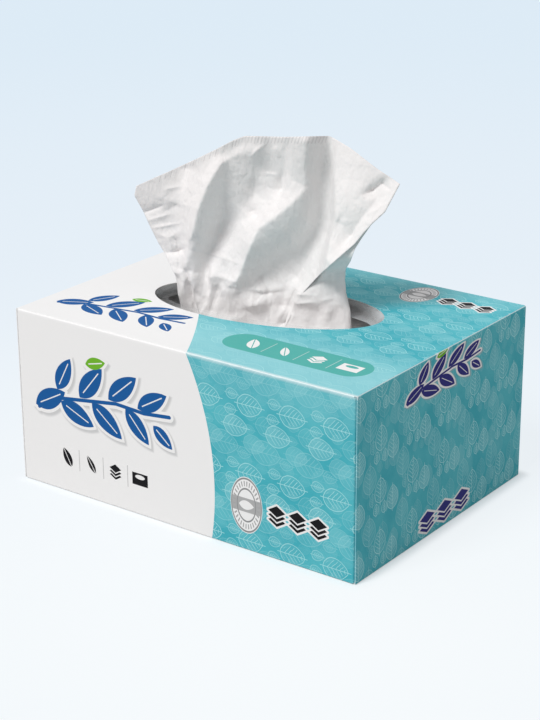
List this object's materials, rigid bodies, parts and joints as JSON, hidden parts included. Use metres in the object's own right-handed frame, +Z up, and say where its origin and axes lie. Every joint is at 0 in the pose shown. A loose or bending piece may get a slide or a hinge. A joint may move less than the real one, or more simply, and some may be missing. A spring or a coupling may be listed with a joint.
{
  "type": "tissue box",
  "caption": "Folded paperboard tissue box with an oval opening, a slit film under it, a stack of interfolded sheets, and one sheet pulled up through the slit.",
  "frame": {"origin": "middle of the base, on the surface the box stands on", "axes": "+X along the box, the longest side; +Y from the printed front to the back; +Z up"},
  "size_m": [0.22, 0.162, 0.193],
  "materials": {
    "carton": "satin",
    "film": "gloss",
    "tissue": "matte"
  },
  "bodies": {
    "root": {"carton": "carton", "slit_film": "film", "tissue_stack": "tissue", "pop_up_tissue": "tissue"}
  },
  "joints": []
}
